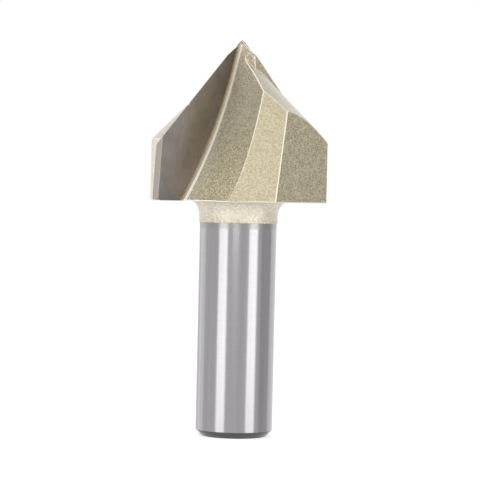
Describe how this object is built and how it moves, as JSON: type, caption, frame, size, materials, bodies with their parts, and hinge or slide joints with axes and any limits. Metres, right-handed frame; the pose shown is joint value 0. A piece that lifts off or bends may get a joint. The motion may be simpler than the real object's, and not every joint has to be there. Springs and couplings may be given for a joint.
{
  "type": "v groove router bit",
  "caption": "V groove router bit with a round shank, hollow gullets, milled relief flats and brazed carbide tips that meet in a square point.",
  "frame": {"origin": "centre of the shank's end face, which is the bottom of the bit standing point up", "axes": "+Z runs along the bit's axis from the shank's end to the point; the first tip's cutting edge lies near -X and its rake face looks toward -Y; the bit cuts when it turns anticlockwise seen from the point"},
  "size_m": [0.0318, 0.0184, 0.0618],
  "materials": {
    "steel": "ground shank, sprayed pale gold coating on the head and neck",
    "carbide": "dark ground cemented carbide"
  },
  "bodies": {
    "root": {"bit_body": "steel", "carbide_tip_a": "carbide", "carbide_tip_b": "carbide"}
  },
  "joints": []
}
